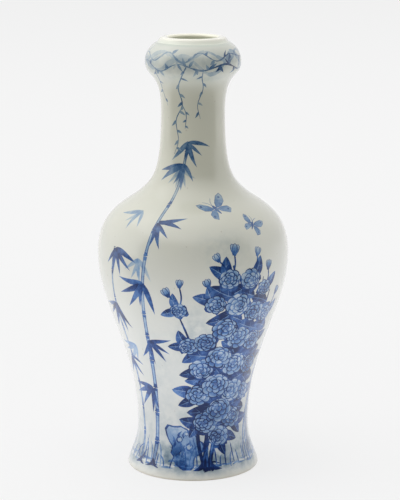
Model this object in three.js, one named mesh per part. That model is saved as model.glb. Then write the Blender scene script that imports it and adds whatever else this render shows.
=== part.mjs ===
// A garlic-mouth porcelain bottle vase: a flared foot, a waisted body that swells to a high belly,
// a long slim neck and a hollow bulb under a short upright mouth rim.
// It is made as the potter makes it, in six sections thrown apart and luted edge to edge with slip.
// Millimetres, +Z up, the origin at the middle of the ring that the vase stands on.

import * as THREE from "three";

// Rises, from the surface that the vase stands on up to the lip
const waistRise = 22.3;
const bellyRise = 91.7; // from the waist to the widest place
const rootRise = 32.3; // from there to where the shoulder turns up into the neck
const neckRise = 41.3; // from there to the neck's narrowest place
const bulbRise = 25; // from there to the bulb's widest place
const crownRise = 10; // from there to the foot of the mouth rim
const rimRise = 2.4;

// Radii of the outside, at those places
const footRadius = 34.3;
const waistRadius = 29;
const bellyRadius = 49.4;
const rootRadius = 27;
const neckRadius = 16.4;
const bulbRadius = 24.6;
const mouthRadius = 12.8; // the opening
const lipThickness = 4.4;

// Fullness of the outline: how far a curve keeps its end's direction, as a share of its own rise
const footFlare = 0.12;
const waistFromFoot = 0.48;
const waistToBelly = 0.456;
const bellyFromWaist = 0.319;
const bellyToRoot = 0.684;
const rootFromBelly = 0.293;
const rootToNeck = 0.214;
const neckFromRoot = 0.769;
const neckToBulb = 0.82;
const bulbFromNeck = 0.353;
const bulbToCollar = 0.5;
const rootLean = 1.09; // inward for each millimetre up
const crownReach = 2.85; // how far the bulb's top runs in level to the rim

// Wall thickness, square to the surface
const waistWall = 6;
const bellyWall = 4.2;
const rootWall = 3.9;
const neckWall = 3.5;
const bulbWall = 4;
const floorThickness = 6.5;
const floorFillet = 12; // the round between the floor and the wall inside

// Luted joints between the sections; the one between the two halves of the body is at the belly
const footSeam = 7;
const neckSeamRise = 15.7; // above the root of the neck
const headSeamRise = 11.4; // above the neck's narrowest place
const ridgeThickness = 0.9; // the bead of slip left inside along each joint
const ridgeReach = 4.5;

// The turned foot and the mouth rim
const standWidth = 3.4; // the flat, unglazed ring that the vase stands on
const footBevel = 0.9;
const footWall = 5.6; // the foot ring's width at its joint
const recessFullness = 0.5; // of the curve that hollows the foot underneath
const rimRound = 1.5; // how high the rounded lip stands over the rim's straight side
const mouthFillet = 1.6; // where the bulb's ceiling turns up into the mouth

// Fineness: facets round the axis, points along a curve before thinning, and points of the corners
const segments = 48;
const samplesPerCurve = 60;
const chordTolerance = 0.1;
const floorSteps = 6;
const mouthSteps = 3;
const lipSteps = 10;

// Heights above the surface that the vase stands on, and the rim's own radius
const bellyHeight = waistRise + bellyRise;
const rootHeight = bellyHeight + rootRise;
const neckHeight = rootHeight + neckRise;
const bulbHeight = neckHeight + bulbRise;
const collarHeight = bulbHeight + crownRise;
const totalHeight = collarHeight + rimRise;
const neckSeam = rootHeight + neckSeamRise;
const headSeam = neckHeight + headSeamRise;
const collarRadius = mouthRadius + lipThickness;

const point = (radius, height) => new THREE.Vector2(radius, height);

// One stretch of the outline, from its lower end to its upper end
function stretch(lower, lowerHandle, upperHandle, upper) {
  const curve = new THREE.CubicBezierCurve(lower, lowerHandle, upperHandle, upper);
  return curve.getPoints(samplesPerCurve);
}

// A stretch that is upright at both ends
function uprightStretch(lower, upper, lowerFullness, upperFullness) {
  const rise = upper.y - lower.y;
  return stretch(
    lower,
    point(lower.x, lower.y + lowerFullness * rise),
    point(upper.x, upper.y - upperFullness * rise),
    upper,
  );
}

// The whole outside, from the foot's edge up to the joint of the mouth rim
function outsideOutline() {
  const foot = point(footRadius, footBevel);
  const waist = point(waistRadius, waistRise);
  const belly = point(bellyRadius, bellyHeight);
  const root = point(rootRadius, rootHeight);
  const neck = point(neckRadius, neckHeight);
  const bulb = point(bulbRadius, bulbHeight);
  const collar = point(collarRadius, collarHeight);
  const lean = point(-rootLean, 1).normalize();
  return joined([
    uprightStretch(foot, waist, footFlare, waistFromFoot),
    uprightStretch(waist, belly, waistToBelly, bellyFromWaist),
    stretch(
      belly,
      point(bellyRadius, bellyHeight + bellyToRoot * rootRise),
      root.clone().addScaledVector(lean, -rootFromBelly * rootRise),
      root,
    ),
    stretch(
      root,
      root.clone().addScaledVector(lean, rootToNeck * neckRise),
      point(neckRadius, neckHeight - neckFromRoot * neckRise),
      neck,
    ),
    uprightStretch(neck, bulb, neckToBulb, bulbFromNeck),
    stretch(
      bulb,
      point(bulbRadius, bulbHeight + bulbToCollar * crownRise),
      point(collarRadius + crownReach, collarHeight),
      collar,
    ),
  ]);
}

// Runs of points end to end, without the points that they share
function joined(runs) {
  const all = [];
  for (const run of runs) {
    for (const p of run) {
      const last = all[all.length - 1];
      if (!last || last.distanceTo(p) > 1e-6) all.push(p.clone());
    }
  }
  return all;
}

function wallAt(height) {
  const stations = [
    [waistRise, waistWall],
    [bellyHeight, bellyWall],
    [rootHeight, rootWall],
    [neckHeight, neckWall],
    [bulbHeight, bulbWall],
  ];
  if (height <= stations[0][0]) return stations[0][1];
  for (let i = 1; i < stations.length; i += 1) {
    const [low, thin] = stations[i - 1];
    const [high, next] = stations[i];
    if (height <= high) return thin + ((next - thin) * (height - low)) / (high - low);
  }
  return bulbWall;
}

// The bead of slip that narrows the inside around each luted joint
function ridgeAt(height) {
  let thickness = 0;
  for (const seam of [bellyHeight, neckSeam, headSeam]) {
    const away = Math.abs(height - seam) / ridgeReach;
    if (away < 1) thickness += (ridgeThickness * (1 + Math.cos(Math.PI * away))) / 2;
  }
  return thickness;
}

// The inside of the wall: the outside moved in, square to itself, by the wall's thickness
function insideOutline(outside) {
  const moved = outside.map((p, i) => {
    const before = outside[Math.max(i - 1, 0)];
    const after = outside[Math.min(i + 1, outside.length - 1)];
    const along = after.clone().sub(before).normalize();
    const inward = point(-along.y, along.x);
    return p.clone().addScaledVector(inward, wallAt(p.y));
  });
  for (const p of moved) p.x -= ridgeAt(p.y);
  return moved;
}

// The part of an outline between two heights, with its ends cut exactly there
function between(outline, low, high) {
  const kept = [];
  for (let i = 1; i < outline.length; i += 1) {
    const a = outline[i - 1];
    const b = outline[i];
    for (const cut of [low, high]) {
      if ((a.y - cut) * (b.y - cut) < 0) {
        const crossing = a.clone().lerp(b, (cut - a.y) / (b.y - a.y));
        kept.push(point(crossing.x, cut));
      }
    }
    if (b.y >= low && b.y <= high) kept.push(b.clone());
  }
  if (outline[0].y >= low && outline[0].y <= high) kept.unshift(outline[0].clone());
  return kept;
}

// The fewest points that stay within the chord tolerance of a run
function thinned(run) {
  const first = run[0];
  const last = run[run.length - 1];
  const chord = last.clone().sub(first);
  const length = chord.length() || 1;
  let worst = 0;
  let furthest = 0;
  run.forEach((p, i) => {
    const off = Math.abs(chord.x * (p.y - first.y) - chord.y * (p.x - first.x)) / length;
    if (off > worst) {
      worst = off;
      furthest = i;
    }
  });
  if (worst <= chordTolerance) return [first, last];
  const lower = thinned(run.slice(0, furthest + 1));
  return [...lower.slice(0, -1), ...thinned(run.slice(furthest))];
}

// Where an outline crosses a height
const radiusAt = (outline, height) => between(outline, height, totalHeight)[0].x;

// A round corner or lip, as an arc of an ellipse between two angles
function roundStretch(centre, radiusAcross, radiusUp, fromAngle, toAngle, steps) {
  const arc = new THREE.EllipseCurve(
    centre.x,
    centre.y,
    radiusAcross,
    radiusUp,
    fromAngle,
    toAngle,
    toAngle < fromAngle,
  );
  return arc.getPoints(steps);
}

// A solid of revolution about Z from a profile of radius and height, named and coloured
function turned(name, profile, finish) {
  const geometry = new THREE.LatheGeometry(profile, segments);
  geometry.rotateX(Math.PI / 2);
  const mesh = new THREE.Mesh(geometry, new THREE.MeshStandardMaterial(finish));
  mesh.name = name;
  return mesh;
}

const closedOnItself = (profile) => [...profile, profile[0].clone()];

const outside = outsideOutline();
const inside = insideOutline(outside);

const paintedGlaze = { color: 0xc3ccd3, roughness: 0.12, metalness: 0 };
const rimGlaze = { color: 0xe3e0cd, roughness: 0.16, metalness: 0 };
const footGlaze = { color: 0xd6d7cb, roughness: 0.2, metalness: 0 };

// A flared ring, turned hollow underneath, with a flat unglazed edge to stand on
function footRing() {
  const standOuter = footRadius - footBevel;
  const standInner = standOuter - standWidth;
  const outer = thinned(between(outside, footBevel, footSeam));
  const seamOuter = outer[outer.length - 1].x;
  const seamInner = seamOuter - footWall;
  const recess = uprightStretch(
    point(standInner, 0),
    point(seamInner, footSeam),
    recessFullness,
    recessFullness,
  );
  const profile = joined([[point(standOuter, 0)], outer, thinned(recess).reverse()]);
  return turned("foot_ring", closedOnItself(profile), footGlaze);
}

// A deep cup: the vase's floor, its waist and the lower half of its belly
function lowerBody() {
  const outer = thinned(between(outside, footSeam, bellyHeight));
  const floor = footSeam + floorThickness;
  const wallStart = floor + floorFillet;
  const inner = thinned(between(inside, wallStart, bellyHeight)).reverse();
  const wallFoot = inner[inner.length - 1];
  const centre = point(wallFoot.x - floorFillet, wallStart);
  const fillet = roundStretch(centre, floorFillet, floorFillet, 0, -Math.PI / 2, floorSteps);
  const profile = joined([[point(0, footSeam)], outer, inner, fillet, [point(0, floor)]]);
  return turned("lower_body", profile, paintedGlaze);
}

// A section that is open at both ends, between two joints
function openSection(name, low, high) {
  const outer = thinned(between(outside, low, high));
  const inner = thinned(between(inside, low, high)).reverse();
  return turned(name, closedOnItself(joined([outer, inner])), paintedGlaze);
}

// The hollow bulb, which closes in to the mouth at its top
function garlicBulb() {
  const outer = thinned(between(outside, headSeam, collarHeight));
  const ceiling = inside[inside.length - 1].y;
  const seam = point(radiusAt(inside, headSeam), headSeam);
  const inner = thinned([seam, ...inside.filter((p) => p.y > headSeam)]);
  const centre = point(mouthRadius + mouthFillet, ceiling + mouthFillet);
  const turnUp = roundStretch(
    centre,
    mouthFillet,
    mouthFillet,
    -Math.PI / 2,
    -Math.PI,
    mouthSteps,
  );
  const mouth = joined([turnUp, [point(mouthRadius, collarHeight)]]).reverse();
  const profile = joined([outer, mouth, inner.reverse()]);
  return turned("garlic_bulb", closedOnItself(profile), paintedGlaze);
}

// The short upright collar with its rounded lip
function mouthRim() {
  const lipMiddle = (collarRadius + mouthRadius) / 2;
  const lipHalf = (collarRadius - mouthRadius) / 2;
  const springing = totalHeight - rimRound;
  const lip = roundStretch(point(lipMiddle, springing), lipHalf, rimRound, 0, Math.PI, lipSteps);
  const base = [point(mouthRadius, collarHeight), point(collarRadius, collarHeight)];
  return turned("mouth_rim", closedOnItself(joined([base, lip])), rimGlaze);
}

const vase = new THREE.Group();
vase.add(
  footRing(),
  lowerBody(),
  openSection("upper_body", bellyHeight, neckSeam),
  openSection("neck", neckSeam, headSeam),
  garlicBulb(),
  mouthRim(),
);

export default vase;
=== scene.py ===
import math
import random

import bpy
import numpy as np
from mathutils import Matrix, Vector
from mathutils.geometry import delaunay_2d_cdt


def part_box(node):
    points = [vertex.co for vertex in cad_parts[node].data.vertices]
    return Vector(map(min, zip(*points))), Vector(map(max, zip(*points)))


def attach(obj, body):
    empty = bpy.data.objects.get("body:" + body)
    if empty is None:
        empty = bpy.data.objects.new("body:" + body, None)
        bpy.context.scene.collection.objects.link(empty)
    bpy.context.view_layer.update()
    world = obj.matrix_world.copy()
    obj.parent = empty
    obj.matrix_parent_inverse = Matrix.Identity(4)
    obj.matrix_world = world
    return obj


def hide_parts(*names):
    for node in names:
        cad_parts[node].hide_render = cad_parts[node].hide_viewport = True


# A porcelain bottle vase with a hollow garlic-head mouth, painted in cobalt blue under a clear glaze.
# The outline and the painting are worked out in millimetres on the unrolled surface: an angle round
# the vase, 0 at the front and growing to the right, and a length along the outside from the foot up.
# Each section is made flat, with its painting let in as faces, and then wrapped round its profile.

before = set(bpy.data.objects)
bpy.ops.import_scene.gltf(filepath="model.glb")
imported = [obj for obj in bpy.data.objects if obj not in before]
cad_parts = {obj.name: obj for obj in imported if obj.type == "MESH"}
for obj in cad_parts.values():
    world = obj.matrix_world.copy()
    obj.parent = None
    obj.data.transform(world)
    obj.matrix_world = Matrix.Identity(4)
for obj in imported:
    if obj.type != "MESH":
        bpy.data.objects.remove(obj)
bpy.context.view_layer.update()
mm = 0.001


def sizesOf(node):
    low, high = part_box(node)
    return {"radius": high.x / mm, "low": low.z / mm, "high": high.z / mm}


cad = {node: sizesOf(node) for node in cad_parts}


# Outline of the vase

outline = {  # what the frame's boxes don't give: millimetres, and how full each curve is
    "waistHeight": 22.3, "waistRadius": 29.0,
    "rootHeight": 146.3, "rootRadius": 27.0, "rootLean": 1.09,
    "neckHeight": 187.6, "neckRadius": 16.4,
    "bulbHeight": 212.6, "crownReach": 2.85, "bulbCeiling": 218.6,
    "footFlare": 0.12, "waistFromFoot": 0.48,
    "waistToBelly": 0.456, "bellyFromWaist": 0.319,
    "bellyToRoot": 0.684, "rootFromBelly": 0.293,
    "rootToNeck": 0.214, "neckFromRoot": 0.769,
    "neckToBulb": 0.82, "bulbFromNeck": 0.353, "bulbToCollar": 0.5,
    "footBevel": 0.9, "standWidth": 3.4, "footWall": 5.6,
    "mouthRadius": 12.8, "mouthFillet": 1.6, "rimRound": 1.5,
    "poolWidth": 1.9, "poolSunk": 0.03, "poolFoot": (-0.9, 0.12), "poolTop": (0.21, -0.4),
    "floorThickness": 6.5, "floorFillet": 12.0, "innerWallFrom": 25.5,
    "walls": ((22.3, 6.0), (114.0, 4.2), (146.3, 3.9), (187.6, 3.5), (212.6, 4.0)),
    "slipRidge": 0.9, "slipReach": 4.5,
}


def bezier(start, startHandle, endHandle, end, count=90):
    t = np.linspace(0, 1, count)[:, None]
    a, b, c, d = (np.array(p, float) for p in (start, startHandle, endHandle, end))
    return (1 - t) ** 3 * a + 3 * (1 - t) ** 2 * t * b + 3 * (1 - t) * t**2 * c + t**3 * d


def upright(low, high, lowFull, highFull):  # a stretch that stands upright at both ends
    rise = high[1] - low[1]
    return bezier(low, (low[0], low[1] + lowFull * rise), (high[0], high[1] - highFull * rise), high)


def stacked(*columns):
    return np.column_stack(columns)


def arc(centre, across, up, fromDegrees, toDegrees, count):
    t = np.radians(np.linspace(fromDegrees, toDegrees, count))
    return stacked(centre[0] + across * np.cos(t), centre[1] + up * np.sin(t))


def oval(centre, across, up, count):
    return arc(centre, across, up, 0, 360, count + 1)[:-1]


def around(count):  # even angles once round
    return np.linspace(0, math.tau, count + 1)[:-1]


def joined(*runs):
    points = np.vstack(runs)
    apart = np.linalg.norm(np.diff(points, axis=0), axis=1) > 1e-7
    return points[np.concatenate([[True], apart])]


def runLength(points):
    return np.concatenate([[0], np.cumsum(np.linalg.norm(np.diff(points, axis=0), axis=1))])


def outsideOutline():
    o = outline
    foot = (cad["foot_ring"]["radius"], o["footBevel"])
    waist = (o["waistRadius"], o["waistHeight"])
    belly = (cad["lower_body"]["radius"], cad["lower_body"]["high"])
    root = np.array((o["rootRadius"], o["rootHeight"]))
    neck = (o["neckRadius"], o["neckHeight"])
    bulb = (cad["garlic_bulb"]["radius"], o["bulbHeight"])
    collar = (cad["mouth_rim"]["radius"], cad["mouth_rim"]["low"])
    lean = np.array((-o["rootLean"], 1.0)) / math.hypot(o["rootLean"], 1)
    rootRise, neckRise, crownRise = root[1] - belly[1], neck[1] - root[1], collar[1] - bulb[1]
    return joined(
        upright(foot, waist, o["footFlare"], o["waistFromFoot"]),
        upright(waist, belly, o["waistToBelly"], o["bellyFromWaist"]),
        bezier(belly, (belly[0], belly[1] + o["bellyToRoot"] * rootRise),
               root - lean * o["rootFromBelly"] * rootRise, root),
        bezier(root, root + lean * o["rootToNeck"] * neckRise,
               (neck[0], neck[1] - o["neckFromRoot"] * neckRise), neck),
        upright(neck, bulb, o["neckToBulb"], o["bulbFromNeck"]),
        bezier(bulb, (bulb[0], bulb[1] + o["bulbToCollar"] * crownRise),
               (collar[0] + o["crownReach"], collar[1]), collar),
    )


def insideOutline(outside):
    along = np.gradient(outside, axis=0)
    along /= np.linalg.norm(along, axis=1)[:, None]
    heights, walls = zip(*outline["walls"])
    wall = np.interp(outside[:, 1], heights, walls)
    inside = outside + stacked(-along[:, 1], along[:, 0]) * wall[:, None]
    for node in ("lower_body", "upper_body", "neck"):  # the bead of slip inside each joint
        away = np.abs(inside[:, 1] - cad[node]["high"]) / outline["slipReach"]
        inside[:, 0] -= outline["slipRidge"] * (1 + np.cos(np.pi * np.clip(away, 0, 1))) / 2
    return inside


def between(points, low, high):  # the part of an outline between two heights
    radii = np.interp((low, high), points[:, 1], points[:, 0])
    kept = points[(points[:, 1] > low + 1e-6) & (points[:, 1] < high - 1e-6)]
    return np.vstack([(radii[0], low), kept, (radii[1], high)])


outside = outsideOutline()
inside = insideOutline(outside)
outsideLength = runLength(outside)


def lengthAt(height):
    return np.interp(height, outside[:, 1], outsideLength)


def heightAt(length):
    return np.interp(length, outsideLength, outside[:, 1])


def radiusAt(length):
    return np.interp(length, outsideLength, outside[:, 0])


print("outline ready:", round(float(outsideLength[-1]), 1), "mm along the outside")


# Painting, in paint order. A shape is a closed ring of points (angle in radians, length in mm) with a
# depth of cobalt; "cover" hides what lies behind, "add" is a wash over it.

shapes = []
washes = []  # soft clouds of thin cobalt: degrees, height, half width and half height in mm, depth
smallest = 1e-6  # twice the area below which a shape is left out


def doubleArea(points):
    x, y = points[:, 0], points[:, 1]
    return float(np.sum(x * np.roll(y, -1) - y * np.roll(x, -1)))


def paint(points, depth, mode="cover", fade=None):
    points = np.asarray(points, float)
    area = doubleArea(points)
    if abs(area) > smallest:
        ring = points if area > 0 else points[::-1]
        shapes.append({"points": ring, "depth": depth, "mode": mode, "fade": fade})


def paintQuad(a, b, c, d, depth, mode):
    first, second = doubleArea(np.array([a, b, c])), doubleArea(np.array([a, c, d]))
    if first * second > 0:
        paint([a, b, c, d], depth, mode)
    else:  # a stroke's tight bend crosses over itself: the larger half is enough
        paint([a, b, c] if abs(first) > abs(second) else [a, c, d], depth, mode)


def reserve(spot, across, up, depth=0.5):  # an oval is left clear, so what lies wholly in it goes
    def hidden(shape):
        away = (shape["points"] - spot) * (radiusAt(spot[1]) / across, 1 / up)
        return bool(np.all(np.sum(away**2, axis=1) < 1))

    shapes[:] = [shape for shape in shapes if not hidden(shape)]
    t = around(18)
    paint(stacked(spot[0] + across * np.cos(t) / radiusAt(spot[1]), spot[1] + up * np.sin(t)), depth)


def spotAt(degrees, height):
    return math.radians(degrees), float(lengthAt(height))


def degreesPath(*points):
    return [spotAt(degrees, height) for degrees, height in points]


def placed(spot, turn, points, squash=1):  # local millimetres, turned, on to the unrolled surface
    points = np.asarray(points, float)
    c, s = math.cos(turn), math.sin(turn)
    across = points[:, 0] * c - points[:, 1] * s
    up = (points[:, 0] * s + points[:, 1] * c) * squash
    length = spot[1] + up
    return stacked(spot[0] + across / radiusAt(length), length)


def paintAt(spot, turn, points, depth, squash=1, fade=None):  # fade: two local points and a last depth
    if fade:
        fade = (*placed(spot, turn, fade[:2], squash), fade[2])
    paint(placed(spot, turn, points, squash), depth, fade=fade)


def smoothPath(points, step=1.2):  # a curve through the points, in steps of about this many millimetres
    points = np.asarray(points, float)
    scale = np.array([float(np.mean(radiusAt(points[:, 1]))), 1.0])
    ends = np.vstack([2 * points[0] - points[1], points, 2 * points[-1] - points[-2]])
    out = []
    for i in range(1, len(ends) - 2):
        a, b, c, d = ends[i - 1:i + 3]
        count = max(2, int(np.linalg.norm((c - b) * scale) / step))
        t = np.linspace(0, 1, count, endpoint=False)[:, None]
        out.append(0.5 * (2 * b + (c - a) * t + (2 * a - 5 * b + 4 * c - d) * t**2
                          + (3 * b - a - 3 * c + d) * t**3))
    return np.vstack(out + [points[-1:]])


def sidesOf(path, widths):  # the left and right edge of a stroke
    radius = radiusAt(path[:, 1])
    along = np.gradient(path, axis=0) * stacked(radius, np.ones(len(path)))
    along /= np.linalg.norm(along, axis=1)[:, None] + 1e-12
    off = stacked(-along[:, 1] / radius, along[:, 0]) * np.asarray(widths)[:, None] / 2
    return path + off, path - off


def uneven(rng):  # how much more or less the hand gives, where random numbers are given
    return 1 + (rng.uniform(-0.12, 0.12) if rng else 0)


# A stroke of quads. Start and end say how much of its width it has where the brush lands and lifts.

def brush(path, width, depth, start=0.5, end=0.1, mode="cover", step=1.2, rng=None, smooth=True):
    path = smoothPath(path, step) if smooth else np.asarray(path, float)
    t = np.linspace(0, 1, len(path))
    landing = start + (1 - start) * np.clip(t / 0.2, 0, 1) ** 0.7
    lifting = end + (1 - end) * np.clip((1 - t) / 0.45, 0, 1) ** 0.8
    press = landing * lifting
    left, right = sidesOf(path, width * press * np.array([uneven(rng) for _ in t]))
    for i in range(len(path) - 1):
        paintQuad(left[i], left[i + 1], right[i + 1], right[i], depth * uneven(rng), mode)


def bloomGround(degrees, height, radius, squash, wash):  # cleared, and washed thinly
    spot = spotAt(degrees, height)
    reserve(spot, radius * 0.9, radius * 0.9 * squash)
    washes.append((degrees, height, radius * 0.95, radius * 0.9, wash))
    return spot


flower = {  # chrysanthemums: lines in mm, depths of cobalt, and shares of the flower's radius
    "line": 0.4, "outlineDepth": 4.2, "innerDepth": 2.2, "tipDepth": 0.3, "wash": 0.14,
    "rings": ((15, 0.40, 1.00, 0.40), (12, 0.24, 0.74, 0.36), (8, 0.08, 0.46, 0.30)),  # start, end, width
    "heart": 0.13, "hearts": ((1.5, 10, 2.6), (0.8, 8, 0.7)),  # size, corners, depth
    "squash": 0.86,
}


def petalRing(length, width):
    t = np.array([0.0, 0.18, 0.42, 0.68, 0.88])
    half = width / 2 * np.sin(np.pi * np.clip(t * 0.78 + 0.12, 0, 1)) ** 0.8
    right = stacked(half, t * length)
    return np.vstack([right, [(0, length)], right[::-1] * (-1, 1)])


def petal(spot, turn, reach, length, width, squash, depth):
    line = flower["line"]
    outer = petalRing(length, width) + (0, reach)
    inner = petalRing(length - 1.3 * line, width - 2 * line) + (0, reach + 0.65 * line)
    paintAt(spot, turn, outer, flower["outlineDepth"] * depth, squash)
    paintAt(spot, turn, inner, flower["innerDepth"] * depth, squash,
            ((0, reach), (0, reach + length), flower["tipDepth"] * depth))


def chrysanthemum(degrees, height, radius, seed, depth):
    rng = random.Random(seed)
    squash = flower["squash"]
    spot = bloomGround(degrees, height, radius, squash, flower["wash"])
    for count, start, end, width in flower["rings"]:
        first = rng.uniform(0, math.tau)
        for k in range(count):
            turn = first + math.tau * (k + rng.uniform(-0.12, 0.12)) / count
            length = (end - start) * radius * rng.uniform(0.9, 1.04)
            petal(spot, turn, start * radius, length, width * radius, squash, depth * rng.uniform(0.85, 1.15))
    heart = flower["heart"] * radius
    for size, count, tone in flower["hearts"]:
        paintAt(spot, 0, oval((0, 0), heart * size, heart * size * squash, count), tone)


camellia = {  # each ring: petals, how far out and how big, as shares of the flower's radius
    "rings": ((8, 0.66, 0.36), (7, 0.43, 0.31), (5, 0.22, 0.24)),
    "line": 0.52, "outlineDepth": 4.4, "rootDepth": 2.5, "tipDepth": 0.16, "uneven": 0.16, "wash": 0.16,
    "heart": 0.15, "heartDepth": 3.1, "dots": 5, "dotDepth": 0.5, "squash": 0.9,
}


def roundPetal(spot, turn, reach, size, squash, depth, rng):
    line = camellia["line"] * rng.uniform(0.8, 1.25)
    across = size * rng.uniform(0.92, 1.12)
    t = around(11)
    dent = 1 - 0.1 * np.exp(-(((t - math.pi / 2 + math.pi) % math.tau - math.pi) / 0.3) ** 2)
    unit = stacked(across * np.cos(t), size * np.sin(t)) * dent[:, None]
    shift = rng.uniform(-1, 1) * camellia["uneven"], rng.uniform(-1, 0.4) * camellia["uneven"]
    inner = unit * (1 - line / across, 1 - line / size) + (shift[0], reach + shift[1])
    paintAt(spot, turn, unit + (0, reach), camellia["outlineDepth"] * depth, squash)
    paintAt(spot, turn, inner, camellia["rootDepth"] * depth, squash,
            ((0, reach - size), (0, reach + size), camellia["tipDepth"] * depth))


def camelliaFlower(degrees, height, radius, seed, depth):
    rng = random.Random(seed)
    squash = camellia["squash"]
    spot = bloomGround(degrees, height, radius, squash, camellia["wash"])
    tilt = rng.uniform(-0.12, 0.12) * radius, rng.uniform(-0.12, 0.12) * radius
    for k, (count, out, size) in enumerate(camellia["rings"]):
        middle = placed(spot, 0, [(tilt[0] * k, tilt[1] * k)])[0]
        first = rng.uniform(0, math.tau)
        for turn in np.arange(count) * math.tau / count + first:
            roundPetal(middle, turn + rng.uniform(-0.08, 0.08), out * radius, size * radius, squash,
                       depth * rng.uniform(0.5, 1.35), rng)
    heart = camellia["heart"] * radius  # it sits in the last ring's middle
    paintAt(middle, 0, oval((0, 0), heart, heart * squash, 9), camellia["heartDepth"])
    for turn in np.arange(camellia["dots"]) * math.tau / camellia["dots"]:
        dot = (0.5 * heart * math.cos(turn), 0.5 * heart * math.sin(turn))
        paintAt(middle, 0, oval(dot, heart * 0.17, heart * 0.17, 5), camellia["dotDepth"])


leaf = {"depth": 4.3, "pale": 2.9, "vein": 1.0, "veinWidth": 0.3}
cup = {  # what holds a bud, as shares of the bud's radius
    "ring": ((-0.35, -0.5), (0.35, -0.5), (0.62, 0.1), (0.5, 0.75), (0.2, 0.25), (0, 0.6), (-0.2, 0.25),
             (-0.5, 0.75), (-0.62, 0.1)),
    "depth": 3.2,
}


def bud(degrees, height, radius, turn):
    spot = spotAt(degrees, height)
    rng = random.Random(round(degrees * 7 + height))
    for lean in (-0.42, 0.42, 0.0):
        petal(spot, turn + lean, -0.3 * radius, 2.3 * radius, 1.25 * radius, 1, rng.uniform(0.7, 1.1))
    paintAt(spot, turn, np.array(cup["ring"]) * radius, cup["depth"])


def veinedLeaf(degrees, height, length, turn, seed, depth, lobed):
    rng = random.Random(seed)
    spot = spotAt(degrees, height)
    t = np.linspace(0, 1, 13)
    wavy = 1 - lobed + lobed * np.cos(t * math.tau * 3 + 0.6)
    lobes = 0.5 * np.sin(np.pi * t**0.85) ** 0.75 * wavy * length * (0.5 + 0.7 * lobed)
    bend = 0.12 * length * rng.uniform(-1, 1) * np.sin(np.pi * t)
    right = stacked(bend + lobes, t * length)
    left = stacked(bend - lobes * rng.uniform(0.85, 1.1), t * length)
    spine = stacked(bend, t * length)
    tone = depth * rng.uniform(0.85, 1.1)
    paintAt(spot, turn, np.vstack([spine, right[::-1][1:-1]]), leaf["depth"] * tone)
    paintAt(spot, turn, np.vstack([spine[::-1], left[1:-1]]), leaf["pale"] * tone)
    veins = [spine[::2]]
    for k, side in ((3, 1), (3, -1), (7, 1), (7, -1)):
        veins.append([spine[k], (spine[k][0] + side * lobes[k] * 0.75, spine[k][1] + length * 0.13)])
    for vein in veins:
        brush(placed(spot, turn, vein), leaf["veinWidth"], leaf["vein"] * tone, smooth=False)


def bladeLeaf(degrees, height, length, width, turn, depth, bend=0.15):  # a bamboo leaf
    t = np.array([0, 0.06, 0.16, 0.3, 0.46, 0.64, 0.82, 1.0])
    half = width / 2 * (np.sin(np.pi * np.clip(t, 0.02, 1) ** 0.62) ** 0.9) * (1 - 0.15 * t)
    mid = bend * length * (t**2 - t)
    right, left = (stacked(mid + side, t * length) for side in (half, -half))
    paintAt(spotAt(degrees, height), turn, np.vstack([right, left[::-1][1:]]), depth,
            fade=((0, 0), (0, length), depth * 0.62))


bamboo = {"edgeDepth": 3.0, "faceDepth": 0.7, "nodeDepth": 4.0, "gap": 0.5, "joint": 15.0}


def stalk(path, width, seed):
    rng = random.Random(seed)
    line = smoothPath(path, 1.0)
    angle, length = line[:, 0], line[:, 1]
    steps = np.hypot(np.diff(angle) * radiusAt(length)[1:], np.diff(length))
    run = np.concatenate([[0], np.cumsum(steps)])
    total, at = run[-1], 0.0
    while at < total:
        reach = min(total, at + bamboo["joint"] * rng.uniform(0.85, 1.15))
        t = np.linspace(at, reach - bamboo["gap"], 9)
        mid = stacked(np.interp(t, run, angle), np.interp(t, run, length))
        thin = width * (1 - 0.45 * at / total)
        swell = 1 + 0.22 * np.abs(np.linspace(-1, 1, 9)) ** 4
        left, right = sidesOf(mid, thin * swell)
        innerLeft, innerRight = sidesOf(mid, thin * swell * 0.58)
        paint(np.vstack([left, right[::-1]]), bamboo["edgeDepth"] * rng.uniform(0.85, 1.1))
        paint(np.vstack([innerLeft[1:-1], innerRight[::-1][1:-1]]), bamboo["faceDepth"])
        joint = (np.interp(reach, run, angle), np.interp(reach, run, length))
        ring = placed(joint, 0, [(-thin * 0.7, 0.25), (0, -0.15), (thin * 0.7, 0.25)])
        brush(ring, 0.5, bamboo["nodeDepth"], start=0.8, end=0.5, step=0.6)
        at = reach


def leafSpray(degrees, height, turn, size, count, seed, depth):
    rng = random.Random(seed)
    for k in range(count):
        lean = (k - (count - 1) / 2) * rng.uniform(0.42, 0.6)
        length = size * rng.uniform(0.75, 1.15)
        bladeLeaf(degrees + rng.uniform(-0.5, 0.5), height + rng.uniform(-0.6, 0.6), length, length * 0.2,
                  turn + lean, depth * rng.uniform(0.8, 1.25), bend=rng.uniform(-0.25, 0.25))


def grass(degrees, height, reach, lean, width, depth, seed):
    points = [(0, 0), (lean * 0.12, reach * 0.4), (lean * 0.45, reach * 0.8), (lean, reach * 1.02)]
    path = placed(spotAt(degrees, height), 0, points)
    brush(path, width, depth, start=0.6, end=0.08, rng=random.Random(seed))


wing = {  # the right wings of a butterfly, as shares of its size, and how full the pale fill is
    "lower": ((0.06, -0.04), (0.5, -0.06), (0.85, -0.25), (0.92, -0.6), (0.62, -0.85), (0.48, -0.7),
              (0.2, -0.4)),
    "upper": ((0.06, 0.0), (0.3, 0.42), (0.75, 0.8), (1.12, 0.85), (1.15, 0.55), (0.95, 0.15), (0.5, -0.05)),
    "fills": {"lower": 1.6, "upper": 1.0}, "farSide": 0.78,
    "line": 0.4, "edge": 3.0, "dark": 2.2, "pale": 0.6, "body": 3.4, "feeler": 2.4,
}


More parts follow.
